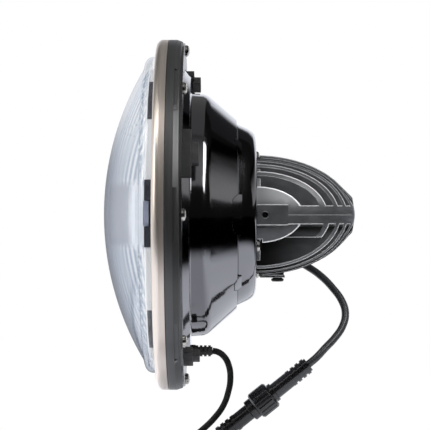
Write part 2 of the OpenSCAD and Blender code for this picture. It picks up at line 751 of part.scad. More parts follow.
module breather_plug() {
    color([0.12, 0.12, 0.12]) translate([vent_x, 0, foot_z - breather_t]) rotate([180, 0, 0])
        rotate_extrude($fn = small_fn)
            polygon([[0, 0], [vent_d / 2 - 0.7, 0], [vent_d / 2 - 0.7, 0.6], [vent_d / 2, 0.9],
                [vent_d / 2, plug_h - 0.5], [vent_d / 2 - 0.5, plug_h], [0, plug_h]]);
}

// Routes of the leads, hand-set points from the exit to the end. They move with the
// gland and with the shoulder that the leads start from.
gland_r = 4;
gland_y = fin_side_n * fin_pitch + 1;
gland_z = -sink_r / 2 - head_r - gland_r - 0.35;
main_shift = [cap_back_x - 41.6, gland_y - 23.5, gland_z + 22.5];
marker_shift = [shoulder_x - 9, 0, 74 - shoulder_r];
function moved(route, shift) = [for (p = route) p + shift];
main_points = [[54, 23.5, -22.5], [59, 23.4, -23], [64.5, 22.3, -24.5], [70, 20, -27.4], [76.5, 15, -32],
    [82.2, 9.5, -38], [86.6, 4.5, -44.5], [88, 0.5, -50.5], [86.2, -3.4, -56.8], [82, -6.8, -62.4],
    [76.6, -9.8, -67.6], [72.2, -11.6, -72], [68.2, -12, -75.3]];
pigtail_points = [[23, -12, -111.7], [19.8, -12, -114.2], [16, -12.2, -117], [11.5, -12.8, -119.7],
    [7, -13.5, -121.8], [2.5, -14.1, -122.8], [-1.65, -14.35, -123.05]];
pigtail_tail_points = [[-6, -64.05, -119.15], [-1, -64.05, -119], [4.5, -64.05, -118.1], [9.5, -64.05, -117],
    [14, -64.05, -116.5]];
marker_points = [[19.8, -9.5, -68.8], [22.4, -9.5, -69.3], [25.6, -9.2, -71.6], [28, -8.6, -76],
    [28.9, -7.6, -83.2], [27.9, -6.4, -89.8], [25.4, -5, -97], [21, -3.6, -103.4], [15.4, -2, -109.2],
    [9.6, -0.4, -114], [3.6, 1, -118], [-2.4, 2.1, -121.1], [-8.4, 2.9, -122.9], [-13, 3.35, -123.4],
    [-16.8, 3.85, -123.4]];
marker_tail_points = [[-14, 44.35, -120.2], [-9, 44.35, -120.4], [-4, 44.35, -121.2], [0, 44.35, -121.9],
    [4, 44.35, -122]];
main_route = moved(main_points, main_shift);
pigtail_route = moved(pigtail_points, main_shift);
pigtail_tail = moved(pigtail_tail_points, main_shift);
marker_route = moved(marker_points, marker_shift);
marker_tail = moved(marker_tail_points, marker_shift);
pigtail_turn = [-6, -39, -125] + main_shift;
pigtail_turn_r = 21;
marker_turn = [-14, 24, -125] + marker_shift;
marker_turn_r = 17;

// A smooth curve through the points of a route, and rings of a tube along it
function unit(v) = v / norm(v);
function spline(p0, p1, p2, p3, t) =
    0.5 * (2 * p1 + (p2 - p0) * t + (2 * p0 - 5 * p1 + 4 * p2 - p3) * t * t
        + (3 * p1 - p0 - 3 * p2 + p3) * t * t * t);
function pick(pts, i) = i < 0 ? 2 * pts[0] - pts[1]
    : i >= len(pts) ? 2 * pts[len(pts) - 1] - pts[len(pts) - 2] : pts[i];
function smooth(pts, n) = concat(
    [for (i = [0 : len(pts) - 2], k = [0 : n - 1])
        spline(pick(pts, i - 1), pts[i], pts[i + 1], pick(pts, i + 2), k / n)],
    [pts[len(pts) - 1]]);
function heading(pts, i) = unit(pick(pts, i + 1) - pick(pts, i - 1));
tube_sides = 8;
module tube(route, d, n, first, last) {
    pts = smooth(route, n);
    m = len(pts);
    rings = [for (i = [0 : m - 1]) let (
            t = i == 0 ? first : i == m - 1 ? last : heading(pts, i),
            u = unit(cross([0, 1, 0], t)),
            w = cross(t, u))
        for (k = [0 : tube_sides - 1]) let (a = 360 * k / tube_sides)
            pts[i] + d / 2 * (cos(a) * u + sin(a) * w)];
    sides = [for (i = [0 : m - 2], k = [0 : tube_sides - 1]) let (
            a = i * tube_sides + k,
            b = i * tube_sides + (k + 1) % tube_sides)
        [a, a + tube_sides, b + tube_sides, b]];
    polyhedron(rings, concat(sides, [[for (k = [0 : tube_sides - 1]) k],
        [for (k = [tube_sides - 1 : -1 : 0]) (m - 1) * tube_sides + k]]));
}

// Gland: carries the lamp lead out of the cap, between the fins
module cable_gland() {
    x1 = main_route[0][0];
    nut = 4;
    color([0.12, 0.12, 0.12]) translate([0, gland_y, gland_z]) rotate([0, 90, 0])
        rotate_extrude($fn = small_fn)
        polygon([[0, cap_in_x + seat], [lead_d / 2 + 0.8, cap_in_x + seat], [lead_d / 2 + 0.8, cap_back_x],
            [gland_r, cap_back_x], [gland_r, cap_back_x + nut], [gland_r - 0.6, cap_back_x + nut + 0.5],
            [lead_d / 2 + 0.5, x1], [0, x1]]);
}

connector_tilt = 38.8;
lead_dir = [-cos(connector_tilt), 0, -sin(connector_tilt)];
module main_cord() {
    color([0.2, 0.2, 0.21]) tube(main_route, lead_d, 1, [1, 0, 0], lead_dir);
}

// Inline connector: both halves lie along one axis, x = 0 being the middle of its nut
module on_connector() {
    start = main_route[len(main_route) - 1];
    mid = start + connector_half * lead_dir;
    translate(mid) rotate([0, 180 - connector_tilt, 0]) children();
}

// Outline of a ribbed end, from its seat to the lead
rib_n = 4;
function ribs(x0, x1, r) = [for (i = [0 : rib_n - 1]) let (p = (x1 - x0) / rib_n, x = x0 + i * p)
    each [[r, x], [r, x + p * 0.62], [r - 0.7, x + p * 0.62], [r - 0.7, x + p]]];
grip_n = 18;
module boot(x0, x1) {
    rotate([0, 90, 0]) rotate_extrude($fn = small_fn)
        polygon(concat([[0, x0]], ribs(x0, x1, boot_d / 2), [[0, x1]]));
}
boot_x = connector_half - boot_l;
module plug_boot() {
    color([0.14, 0.14, 0.14]) on_connector() mirror([1, 0, 0]) boot(boot_x, connector_half);
}
module socket_boot() {
    color([0.14, 0.14, 0.14]) on_connector() boot(boot_x, connector_half);
}

// The plug's body carries the nut on a collar, the socket's body reaches into the nut
collar_r = body_d / 2 + 1;
module plug_body() {
    color([0.16, 0.16, 0.16]) on_connector() rotate([0, 90, 0]) rotate_extrude($fn = small_fn)
        polygon([[0, -boot_x], [body_d / 2, -boot_x], [body_d / 2, -nut_l / 2 - 2.2],
            [body_d / 2 + 0.9, -nut_l / 2 - 2], [body_d / 2 + 0.9, -nut_l / 2 - 0.3],
            [body_d / 2, -nut_l / 2 - 0.3], [body_d / 2, -nut_l / 2 + 1.6],
            [collar_r, -nut_l / 2 + 1.6], [collar_r, -0.2], [0, -0.2]]);
}
module socket_body() {
    color([0.16, 0.16, 0.16]) on_connector() rotate([0, 90, 0]) rotate_extrude($fn = small_fn)
        polygon([[0, 1.2], [collar_r, 1.2], [collar_r, nut_l / 2 - 0.3], [collar_r + 0.4, nut_l / 2 + 0.3],
            [collar_r + 0.4, nut_l / 2 + 3.4], [body_d / 2, nut_l / 2 + 4], [body_d / 2, boot_x],
            [0, boot_x]]);
}
module coupling_nut() {
    color([0.14, 0.14, 0.14]) on_connector() difference() {
        rotate([0, 90, 0]) rotate_extrude($fn = small_fn)
            polygon([[body_d / 2 + fit, -nut_l / 2], [nut_d / 2 - 0.8, -nut_l / 2],
                [nut_d / 2, -nut_l / 2 + 0.8],
                [nut_d / 2, nut_l / 2 - 0.8], [nut_d / 2 - 0.8, nut_l / 2], [collar_r + fit, nut_l / 2],
                [collar_r + fit, -nut_l / 2 + 1.4], [body_d / 2 + fit, -nut_l / 2 + 1.4]]);
        around(grip_n, nut_d / 2) rod(0.45, -nut_l / 2 + 1.2, nut_l / 2 - 1.2, 6);
    }
}
module coupling_ring() {
    color([0.6, 0.2, 0.15]) on_connector() rod(collar_r - 0.5, -0.1, 1.1);
}

// Pigtail: from the socket to a neat coil on the surface below, then to the plug
module pigtail_cord() {
    color([0.2, 0.2, 0.21]) {
        tube(pigtail_route, lead_d, 1, lead_dir, unit([-1, 0.18, 0]));
        tube(pigtail_tail, lead_d, 1, [1, 0, 0], [1, 0, 0]);
    }
}

// Outer shape of a coil of two layers
module coil(centre, r, d) {
    translate(centre) rotate_extrude($fn = curve_fn)
        polygon([[r - d / 2, d * 0.3], [r - d / 4, 0], [r + d / 4, 0], [r + d / 2, d * 0.3],
            [r + d / 2, d * 1.7],
            [r + d / 4, 2 * d], [r - d / 4, 2 * d], [r - d / 2, d * 1.7]]);
}
module pigtail_coil() {
    color([0.2, 0.2, 0.21]) coil(pigtail_turn, pigtail_turn_r, lead_d);
}
module marker_coil() {
    color([0.1, 0.1, 0.1]) coil(marker_turn, marker_turn_r, marker_d);
}

// Lamp plug: a three-blade housing that lies on the surface
lamp_plug_l = 22;
lamp_plug_w = 28;
lamp_plug_h = 17;
blade_l = 9;
module lamp_plug() {
    x0 = pigtail_tail[len(pigtail_tail) - 1][0];
    y0 = pigtail_tail[0][1];
    floor_z = pigtail_turn[2];
    color([0.1, 0.1, 0.1]) union() {
        block([x0, y0 - lamp_plug_w / 2 + 4, floor_z + 2],
            [x0 + 4, y0 + lamp_plug_w / 2 - 4, floor_z + lamp_plug_h - 2]);
        block([x0 + 4, y0 - lamp_plug_w / 2, floor_z],
            [x0 + lamp_plug_l, y0 + lamp_plug_w / 2, floor_z + lamp_plug_h]);
    }
}
module plug_blades() {
    x0 = pigtail_tail[len(pigtail_tail) - 1][0] + lamp_plug_l;
    y0 = pigtail_tail[0][1];
    floor_z = pigtail_turn[2];
    color([0.8, 0.8, 0.78]) {
        for (s = [-1, 1])
            block([x0, y0 + s * 8.5 - 0.4, floor_z + 5], [x0 + blade_l, y0 + s * 8.5 + 0.4, floor_z + 13]);
        block([x0, y0 - 4, floor_z + 12.5], [x0 + blade_l, y0 + 4, floor_z + 13.3]);
    }
}

// Marker lead: boot on the pan's shoulder, braided lead, coil and its small plug
marker_boot_r = 2.9;
module marker_boot() {
    x0 = shoulder_x;
    x1 = marker_route[0][0];
    step_x = x0 + 2.3;
    color([0.1, 0.1, 0.1]) translate([0, marker_route[0][1], marker_route[0][2]]) rotate([0, 90, 0])
        rotate_extrude($fn = small_fn)
            polygon(concat([[0, x0], [marker_boot_r + 0.2, x0], [marker_boot_r + 0.2, step_x]],
                ribs(step_x, x1, marker_boot_r - 0.1), [[0, x1]]));
}
module marker_cord() {
    color([0.06, 0.06, 0.06]) {
        tube(marker_route, marker_d, 1, [1, 0, 0], unit([-1, 0.14, 0]));
        tube(marker_tail, marker_d, 1, [1, 0, 0], [1, 0, 0]);
    }
}
marker_plug_l = 18;
marker_plug_w = 9;
marker_plug_h = 6;
module marker_plug() {
    p = marker_tail[len(marker_tail) - 1];
    floor_z = marker_turn[2];
    nose_l = 6;
    hole_y = marker_plug_w / 4;
    color([0.1, 0.1, 0.1]) difference() {
        union() {
            block([p[0], p[1] - marker_plug_w / 2, floor_z],
                [p[0] + marker_plug_l - nose_l, p[1] + marker_plug_w / 2, floor_z + marker_plug_h]);
            block([p[0] + marker_plug_l - nose_l, p[1] - marker_plug_w / 2 + 1, floor_z + 1],
                [p[0] + marker_plug_l, p[1] + marker_plug_w / 2 - 1, floor_z + marker_plug_h - 1]);
        }
        for (s = [-1, 1]) translate([0, p[1] + s * hole_y * 0.8, floor_z + marker_plug_h / 2])
            rod(0.8, p[0] + marker_plug_l - nose_l, p[0] + marker_plug_l + over);
    }
}

lens();
lens_seal();
bezel();
rim_ring();
retaining_plate();
ring_screws();
locating_lug(0);  // locating_lug_1
locating_lug(1);  // locating_lug_2
locating_lug(2);  // locating_lug_3
locating_lug(3);  // locating_lug_4
inner_trim();
trim_inserts();
bar_frame();
light_guide();
guide_board();
reflector();
led_carrier();
led_board_top();
led_board_bottom();
led_chips_top();
led_chips_bottom();
driver_board();
driver_parts();
pan();
pan_seal();
rear_cap();
cap_seal();
cap_screws();
heatsink();
sink_screws();
breather_plate();
breather_plug();
cable_gland();
main_cord();
plug_boot();
plug_body();
coupling_nut();
coupling_ring();
socket_body();
socket_boot();
pigtail_cord();
pigtail_coil();
lamp_plug();
plug_blades();
marker_boot();
marker_cord();
marker_coil();
marker_plug();
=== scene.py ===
import json
import math
import bpy
import bmesh
from mathutils import Matrix, Vector


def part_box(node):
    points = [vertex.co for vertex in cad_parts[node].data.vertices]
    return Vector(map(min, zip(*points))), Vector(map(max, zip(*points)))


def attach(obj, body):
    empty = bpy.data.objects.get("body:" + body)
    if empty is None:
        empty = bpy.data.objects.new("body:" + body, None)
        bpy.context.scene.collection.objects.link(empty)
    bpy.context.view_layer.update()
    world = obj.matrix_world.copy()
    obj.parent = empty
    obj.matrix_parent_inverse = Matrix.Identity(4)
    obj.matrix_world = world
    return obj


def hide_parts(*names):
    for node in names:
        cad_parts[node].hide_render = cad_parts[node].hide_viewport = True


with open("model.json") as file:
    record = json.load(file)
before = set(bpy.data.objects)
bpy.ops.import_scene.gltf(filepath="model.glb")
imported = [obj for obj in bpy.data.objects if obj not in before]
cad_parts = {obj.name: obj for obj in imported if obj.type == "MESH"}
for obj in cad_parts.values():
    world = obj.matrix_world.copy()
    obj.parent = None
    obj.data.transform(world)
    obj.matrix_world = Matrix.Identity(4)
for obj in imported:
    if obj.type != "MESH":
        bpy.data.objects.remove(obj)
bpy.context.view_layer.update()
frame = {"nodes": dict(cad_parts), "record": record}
scene = bpy.context.scene
scene.view_settings.view_transform = "Standard"
print("frame loaded")


# Camera, level with the optical axis and square to it

cameraSetup = {
    "across": 0.0211,  # metres behind the rim
    "distance": 0.703,
    "height": -0.0001,
    "lens": 114.8,
    "sensor": 36.0,
}


def makeCamera():
    data = bpy.data.cameras.new("camera")
    data.lens = cameraSetup["lens"]
    data.sensor_width = cameraSetup["sensor"]
    data.clip_start = 0.01
    data.clip_end = 20
    camera = bpy.data.objects.new("camera", data)
    camera.location = (cameraSetup["across"], -cameraSetup["distance"], cameraSetup["height"])
    camera.rotation_euler = (math.pi / 2, 0, 0)
    scene.collection.objects.link(camera)
    scene.camera = camera


makeCamera()
print("camera ready")


# Leads: the routes are those of the CAD source, in metres

floorZ = -0.125
lampLead = {
    "diameter": 0.0039,
    "route": [
        (0.054, 0.0235, -0.0225), (0.059, 0.0234, -0.023), (0.0645, 0.0223, -0.0245),
        (0.07, 0.02, -0.0274), (0.0765, 0.015, -0.032), (0.0822, 0.0095, -0.038),
        (0.0866, 0.0045, -0.0445), (0.088, 0.0005, -0.0505), (0.0862, -0.0034, -0.0568),
        (0.082, -0.0068, -0.0624), (0.0766, -0.0098, -0.0676), (0.0722, -0.0116, -0.072),
        (0.0682, -0.012, -0.0753),
    ],
}
pigtail = {
    "diameter": 0.0039,
    "route": [
        (0.023, -0.012, -0.1117), (0.0198, -0.012, -0.1142), (0.016, -0.0122, -0.117),
        (0.0115, -0.0128, -0.1197), (0.007, -0.0135, -0.1218), (0.0025, -0.0141, -0.1228),
    ],
    "tail": [
        (-0.001, -0.06405, -0.119), (0.0045, -0.06405, -0.1181), (0.0095, -0.06405, -0.117),
        (0.014, -0.06405, -0.1165),
    ],
    "coilCentre": (-0.006, -0.039),
    "coilRadius": 0.021,
    "start": 80,  # degrees, where the coil begins
    "sweep": 550,
}
markerLead = {
    "diameter": 0.0032,
    "route": [
        (0.0198, -0.0095, -0.0688), (0.0224, -0.0095, -0.0693), (0.0256, -0.0092, -0.0716),
        (0.028, -0.0086, -0.076), (0.0289, -0.0076, -0.0832), (0.0279, -0.0064, -0.0898),
        (0.0254, -0.005, -0.097), (0.021, -0.0036, -0.1034), (0.0154, -0.002, -0.1092),
        (0.0096, -0.0004, -0.114), (0.0036, 0.001, -0.118), (-0.0024, 0.0021, -0.1211),
        (-0.0084, 0.0029, -0.1229),
    ],
    "tail": [
        (-0.009, 0.04435, -0.1204), (-0.004, 0.04435, -0.1212), (0.0, 0.04435, -0.1219),
        (0.004, 0.04435, -0.122),
    ],
    "coilCentre": (-0.014, 0.024),
    "coilRadius": 0.017,
    "start": 262,
    "sweep": -532,
}


winding = {
    "perTurn": 18,  # points
    "low": 0.52,  # heights above the floor, as shares of the lead's thickness
    "high": 1.5,
    "riseFrom": 0.35,  # where on its way the lead climbs on the turn below it, and for how long
    "riseFor": 0.5,
    "easing": 4,  # the wider ends take one part in so many of the points
}


def windCoil(lead):
    centre, thick = lead["coilCentre"], lead["diameter"]
    low, high = floorZ + thick * winding["low"], floorZ + thick * winding["high"]
    count = round(abs(lead["sweep"]) / 360 * winding["perTurn"])
    easing = count / winding["easing"]
    points = []
    for i in range(count + 1):
        share = i / count
        angle = math.radians(lead["start"] + lead["sweep"] * share)
        edge = max(0, 1 - share * easing, 1 - (1 - share) * easing)
        radius = lead["coilRadius"] + edge * thick
        rise = min(1, max(0, (share - winding["riseFrom"]) / winding["riseFor"]))
        points.append((
            centre[0] + radius * math.cos(angle),
            centre[1] + radius * math.sin(angle),
            low + (high - low) * rise,
        ))
    return points


def leadCurve(name, points, diameter):
    curve = bpy.data.curves.new(name, "CURVE")
    curve.dimensions = "3D"
    curve.bevel_depth = 1.0  # times the radius of each point
    curve.bevel_resolution = 4
    curve.resolution_u = 5
    curve.use_fill_caps = True
    spline = curve.splines.new("BEZIER")
    spline.bezier_points.add(len(points) - 1)
    for point, place in zip(spline.bezier_points, points):
        point.co = place
        point.radius = diameter / 2
        point.handle_left_type = point.handle_right_type = "AUTO"
    lead = bpy.data.objects.new(name, curve)
    scene.collection.objects.link(lead)
    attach(lead, "root")
    return lead


def routeLength(points):
    return sum((Vector(b) - Vector(a)).length for a, b in zip(points, points[1:]))


nodes = frame["nodes"]
pigtailPoints = pigtail["route"] + windCoil(pigtail) + pigtail["tail"]
markerPoints = markerLead["route"] + windCoil(markerLead) + markerLead["tail"]

lampCord = leadCurve("lamp_lead", lampLead["route"], lampLead["diameter"])
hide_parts("main_cord")
pigtailCord = leadCurve("pigtail_lead", pigtailPoints, pigtail["diameter"])
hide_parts("pigtail_cord", "pigtail_coil")
markerCord = leadCurve("marker_lead", markerPoints, markerLead["diameter"])
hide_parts("marker_cord", "marker_coil")
print("leads ready", round(routeLength(lampLead["route"]), 3), round(routeLength(pigtailPoints), 3),
      round(routeLength(markerPoints), 3))


# Material helpers

noiseSpan = (0.3, 0.7)  # nearly all values of a noise lie in it
noiseDetail = 3.0
grainShare = {
    "color": 0.12,  # fineness of the changes in colour and roughness, against that of the relief
    "rough": 0.3,
}


def newFinish(name, **values):
    material = bpy.data.materials.new(name)
    material.use_nodes = True
    shader = material.node_tree.nodes["Principled BSDF"]
    for socket, value in values.items():
        shader.inputs[socket.replace("_", " ")].default_value = value
    return material, material.node_tree, shader


def addNode(tree, kind, **settings):
    node = tree.nodes.new(kind)
    for key, value in settings.items():
        if key in node.inputs:
            node.inputs[key].default_value = value
        else:
            setattr(node, key, value)
    return node


def objectNoise(tree, scale, stretch=(1, 1, 1)):
    place = addNode(tree, "ShaderNodeTexCoord")
    mapping = addNode(tree, "ShaderNodeMapping")
    mapping.inputs["Scale"].default_value = stretch
    noise = addNode(tree, "ShaderNodeTexNoise", Scale=scale, Detail=noiseDetail)
    tree.links.new(place.outputs["Object"], mapping.inputs["Vector"])
    tree.links.new(mapping.outputs["Vector"], noise.inputs["Vector"])
    return noise.outputs["Fac"]


def ranged(tree, value, low, high):
    node = addNode(tree, "ShaderNodeMapRange")
    node.inputs["From Min"].default_value = noiseSpan[0]
    node.inputs["From Max"].default_value = noiseSpan[1]
    node.inputs["To Min"].default_value = low
    node.inputs["To Max"].default_value = high
    tree.links.new(value, node.inputs["Value"])
    return node.outputs["Result"]


def bumped(tree, shader, value, depth):
    node = addNode(tree, "ShaderNodeBump", Strength=1.0, Distance=depth)
    tree.links.new(value, node.inputs["Height"])
    tree.links.new(node.outputs["Normal"], shader.inputs["Normal"])


def tinted(tree, shader, value, dark, light):
    ramp = addNode(tree, "ShaderNodeValToRGB")
    for stop, position, color in zip(ramp.color_ramp.elements, noiseSpan, (dark, light)):
        stop.position = position
        stop.color = (*color, 1)
    tree.links.new(value, ramp.inputs["Fac"])
    tree.links.new(ramp.outputs["Color"], shader.inputs["Base Color"])


def grainy(name, dark, light, rough, metal, grain, depth, stretch=(1, 1, 1), **values):
    material, tree, shader = newFinish(name, Metallic=metal, **values)
    tinted(tree, shader, objectNoise(tree, grain * grainShare["color"], stretch), dark, light)
    spread = ranged(tree, objectNoise(tree, grain * grainShare["rough"], stretch), *rough)
    tree.links.new(spread, shader.inputs["Roughness"])
    bumped(tree, shader, objectNoise(tree, grain, stretch), depth)
    return material


def smoothRange(tree, value, low, high, atLow, atHigh):
    node = addNode(tree, "ShaderNodeMapRange", interpolation_type="SMOOTHSTEP")
    node.inputs["From Min"].default_value = low
    node.inputs["From Max"].default_value = high
    node.inputs["To Min"].default_value = atLow
    node.inputs["To Max"].default_value = atHigh
    tree.links.new(value, node.inputs["Value"])
    return node.outputs["Result"]


def stepAt(tree, value, place, span):
    return smoothRange(tree, value, place + span[0], place + span[1], *span[2:])


def calculate(tree, operation, first, second=0.0):
    node = addNode(tree, "ShaderNodeMath", operation=operation)
    for socket, value in zip(node.inputs, (first, second)):
        if isinstance(value, (int, float)):
            socket.default_value = value
        else:
            tree.links.new(value, socket)
    return node.outputs["Value"]


def product(tree, *values):
    result = values[0]
    for value in values[1:]:
        result = calculate(tree, "MULTIPLY", result, value)
    return result


def separated(tree, vector):
    node = addNode(tree, "ShaderNodeSeparateXYZ")
    tree.links.new(vector, node.inputs["Vector"])
    return node.outputs


def mixedColor(tree, share, first, second):
    node = addNode(tree, "ShaderNodeMix", data_type="RGBA")
    for socket, value in ((node.inputs[0], share), (node.inputs[6], first), (node.inputs[7], second)):
        if isinstance(value, tuple):
            socket.default_value = (*value, 1)
        elif isinstance(value, (int, float)):
            socket.default_value = value
        else:
            tree.links.new(value, socket)
    return node.outputs[2]


# Painted light and shade on the casting: painted highlights along the level edges of the fins' faces and on
# the top of the dome, upper rims painted lighter than lower ones, and painted shade under the web and
# towards the cap.
# A row of four is a smooth step: from, to, the value before and the value beyond.
casting = {
    "sideways": (0.35, 0.6, 0.0, 1.0),  # share of the normal along Y, on the faces of fins
    "nearAxis": (0.005, 0.0056, 1.0, 0.0),  # metres above or below the axis, on pad and bar
    "rounded": (0.9, 0.99, 1.0, 0.0),  # how well the rounded normal agrees with the face's
    "level": (0.1, 0.34, 0.0, 0.95),  # share of the rounded normal along Z
    "offBar": (0.001, 0.003, 0.3, 1.0),
    "upright": (0.97, 0.99, 0.0, 1.0),
    "below": (-0.0062, -0.0052, 1.0, 0.0),
    "underWeb": (-0.0115, -0.0065, 0.0, 0.9),
    "nearCap": (0.045, 0.074, 0.94, 0.2),
    "domeEdge": (0.75, 0.85, 0.0, 1.0),
    "domeTop": (0.994, 0.998, 1.0, 0.0),
    "aboveAxis": (0.003, 0.008, 0.0, 0.9),
    "upward": (-0.2, 0.3, 0.0, 1.0),
    "shine": (0.0, 1.0, 0.14, 0.5),
    "shadeDulls": 0.45,
    # colour of the painted highlight on the dome's upper slope
    "dome": (0.17, 0.178, 0.186),
    # colour of the painted shade under the web
    "paintedShade": (0.002, 0.002, 0.002),
    "lowerRim": (0.005, 0.005, 0.006),
    "upperRim": (0.045, 0.048, 0.051),
    "bevelSamples": 6,
}


def edged(material, bright, radius):
    tree = material.node_tree
    shader = tree.nodes["Principled BSDF"]
    bevel = addNode(tree, "ShaderNodeBevel", samples=casting["bevelSamples"], Radius=radius)
    flat = addNode(tree, "ShaderNodeNewGeometry")
    coordinates = addNode(tree, "ShaderNodeTexCoord")
    match = addNode(tree, "ShaderNodeVectorMath", operation="DOT_PRODUCT")
    tree.links.new(bevel.outputs["Normal"], match.inputs[0])
    tree.links.new(flat.outputs["True Normal"], match.inputs[1])
    normal = separated(tree, flat.outputs["True Normal"])
    bevelNormal = separated(tree, bevel.outputs["Normal"])
    place = separated(tree, coordinates.outputs["Object"])

    def step(value, key):
        return smoothRange(tree, value, *casting[key])

    toSide = calculate(tree, "ABSOLUTE", normal["Y"])
    height = calculate(tree, "ABSOLUTE", place["Z"])
    onFace = calculate(tree, "MAXIMUM", step(toSide, "sideways"), step(height, "nearAxis"))
    # Painted shade: fin faces just under the web and towards the cap are painted near black, with their
    # gloss lowered, where the boss's shadow falls.
    shadeZone = calculate(tree, "MAXIMUM", step(place["Z"], "underWeb"), step(place["X"], "nearCap"))
    paintedShade = product(tree, step(place["Z"], "below"), step(toSide, "upright"), shadeZone)
    # Painted highlight: the sloping upper part of the dome is painted lighter, where the light from above
    # falls on it.
    dome = product(tree, step(toSide, "domeEdge"), step(toSide, "domeTop"), step(place["Z"], "aboveAxis"))
    coated = mixedColor(tree, dome, tree.nodes["Color Ramp"].outputs["Color"], casting["dome"])
    faces = mixedColor(tree, paintedShade, coated, casting["paintedShade"])
    # Painted light and shade: rims facing up are painted lighter than rims facing down.
    rims = mixedColor(tree, step(normal["Z"], "upward"), casting["lowerRim"], casting["upperRim"])
    surface = mixedColor(tree, onFace, rims, faces)
    # Painted highlight: light lines along the edges of the fins' faces, strongest on level edges where the
    # light from above catches them.
    level = step(calculate(tree, "ABSOLUTE", bevelNormal["Z"]), "level")
    edgeHighlight = product(tree, step(match.outputs["Value"], "rounded"), onFace, level, step(height, "offBar"))
    tree.links.new(mixedColor(tree, edgeHighlight, surface, bright), shader.inputs["Base Color"])
    shadeDulling = product(tree, paintedShade, onFace, casting["shadeDulls"])
    shine = calculate(tree, "SUBTRACT", step(onFace, "shine"), shadeDulling)
    tree.links.new(shine, shader.inputs["Specular IOR Level"])
    return material


# A braid shows the pale ends of its threads
threadLook = {
    "scale": 1900,
    "span": (0.6, 0.7, 0.0, 1.0),
    "color": (0.07, 0.07, 0.072),
}


def braided(material):
    tree = material.node_tree
    threads = smoothRange(tree, objectNoise(tree, threadLook["scale"]), *threadLook["span"])
    coated = tree.nodes["Color Ramp"].outputs["Color"]
    tree.links.new(mixedColor(tree, threads, coated, threadLook["color"]),
                   tree.nodes["Principled BSDF"].inputs["Base Color"])
    return material


# Turned parts have a grain that runs round the axis, so it changes most along X
turned = (40, 1, 1)

# Each row: name, darkest and lightest colour, roughness, metal, fineness and depth of the relief
finishes = {
    "bezel": grainy("warmSteel", (0.60, 0.53, 0.47), (0.68, 0.61, 0.55), (0.28, 0.38), 0.88, 90, 0.000002,
                    turned),
    "ring": grainy("darkSatin", (0.012, 0.0125, 0.013), (0.022, 0.0225, 0.023), (0.34, 0.44), 0.0, 70,
                   0.000004, turned, IOR=1.85),
    "black_plate": grainy("blackPlate", (0.012, 0.012, 0.013), (0.018, 0.018, 0.019), (0.16, 0.24), 0.0, 900,
                          0.000004, IOR=2.0),
    "screw": grainy("brightScrew", (0.62, 0.60, 0.55), (0.74, 0.72, 0.68), (0.16, 0.3), 1.0, 900, 0.000006),
    "lug": grainy("roughBlack", (0.016, 0.016, 0.017), (0.03, 0.03, 0.031), (0.5, 0.7), 0.0, 1500, 0.00006),
    "trim": grainy("brightTrim", (0.93, 0.94, 0.96), (0.97, 0.98, 0.99), (0.2, 0.3), 0.0, 300, 0.000003),
    "insert": grainy("darkInsert", (0.045, 0.047, 0.06), (0.06, 0.062, 0.075), (0.3, 0.4), 0.0, 700,
                     0.000003),
    "bar": grainy("darkBar", (0.028, 0.028, 0.036), (0.04, 0.04, 0.05), (0.2, 0.3), 0.0, 500, 0.000003),
    "guide": grainy("paleGuide", (0.42, 0.44, 0.56), (0.5, 0.52, 0.64), (0.2, 0.3), 0.0, 500, 0.000003),
    "reflector": grainy("mirrorBowl", (0.88, 0.88, 0.9), (0.93, 0.93, 0.94), (0.03, 0.08), 1.0, 200,
                        0.000001),
    "carrier": grainy("bareAluminium", (0.62, 0.63, 0.64), (0.7, 0.71, 0.72), (0.3, 0.45), 1.0, 700,
                      0.000006),
    "board": grainy("whiteBoard", (0.74, 0.74, 0.72), (0.82, 0.82, 0.8), (0.4, 0.5), 0.0, 900, 0.000004),
    "chip": grainy("phosphor", (0.75, 0.58, 0.12), (0.85, 0.68, 0.18), (0.3, 0.4), 0.0, 900, 0.000004),
    "driver": grainy("greenBoard", (0.02, 0.14, 0.06), (0.03, 0.2, 0.08), (0.3, 0.4), 0.0, 900, 0.000004),
    "component": grainy("blackPlastic", (0.014, 0.014, 0.015), (0.024, 0.024, 0.025), (0.4, 0.55), 0.0, 1200,
                        0.00002),
    "housing": grainy("glossBlack", (0.225, 0.225, 0.24), (0.255, 0.255, 0.275), (0.08, 0.13), 1.0, 160,
                      0.000002, Coat_Weight=1.0, Coat_Roughness=0.07, Coat_IOR=1.5),
    "seal": grainy("sealRubber", (0.02, 0.02, 0.02), (0.03, 0.03, 0.03), (0.6, 0.7), 0.0, 900, 0.000006),
    # The heatsink's bright colour and radius paint highlights along its edges.
    "heatsink": edged(
        grainy("castGrey", (0.042, 0.045, 0.049), (0.07, 0.075, 0.081), (0.38, 0.5), 0.2, 1400, 0.00003,
               IOR=2.1),
        (0.95, 0.96, 0.98), 0.0007,
    ),
    "cord": grainy("smoothCord", (0.03, 0.031, 0.034), (0.04, 0.041, 0.045), (0.25, 0.34), 0.0, 300,
                   0.000004),
    "braid": braided(grainy("blackBraid", (0.003, 0.003, 0.003), (0.008, 0.008, 0.008), (0.5, 0.65), 0.0,
                            1900, 0.00005, IOR=1.3)),
    "connector": grainy("connectorPlastic", (0.004, 0.004, 0.005), (0.01, 0.01, 0.012), (0.2, 0.3), 0.0, 300,
                        0.000004, IOR=1.8),
    "red_ring": grainy("redRing", (0.35, 0.05, 0.03), (0.45, 0.08, 0.05), (0.4, 0.5), 0.0, 900, 0.000006),
    "blade": grainy("tinnedBlade", (0.66, 0.65, 0.6), (0.76, 0.75, 0.7), (0.2, 0.35), 1.0, 800, 0.000006),
}


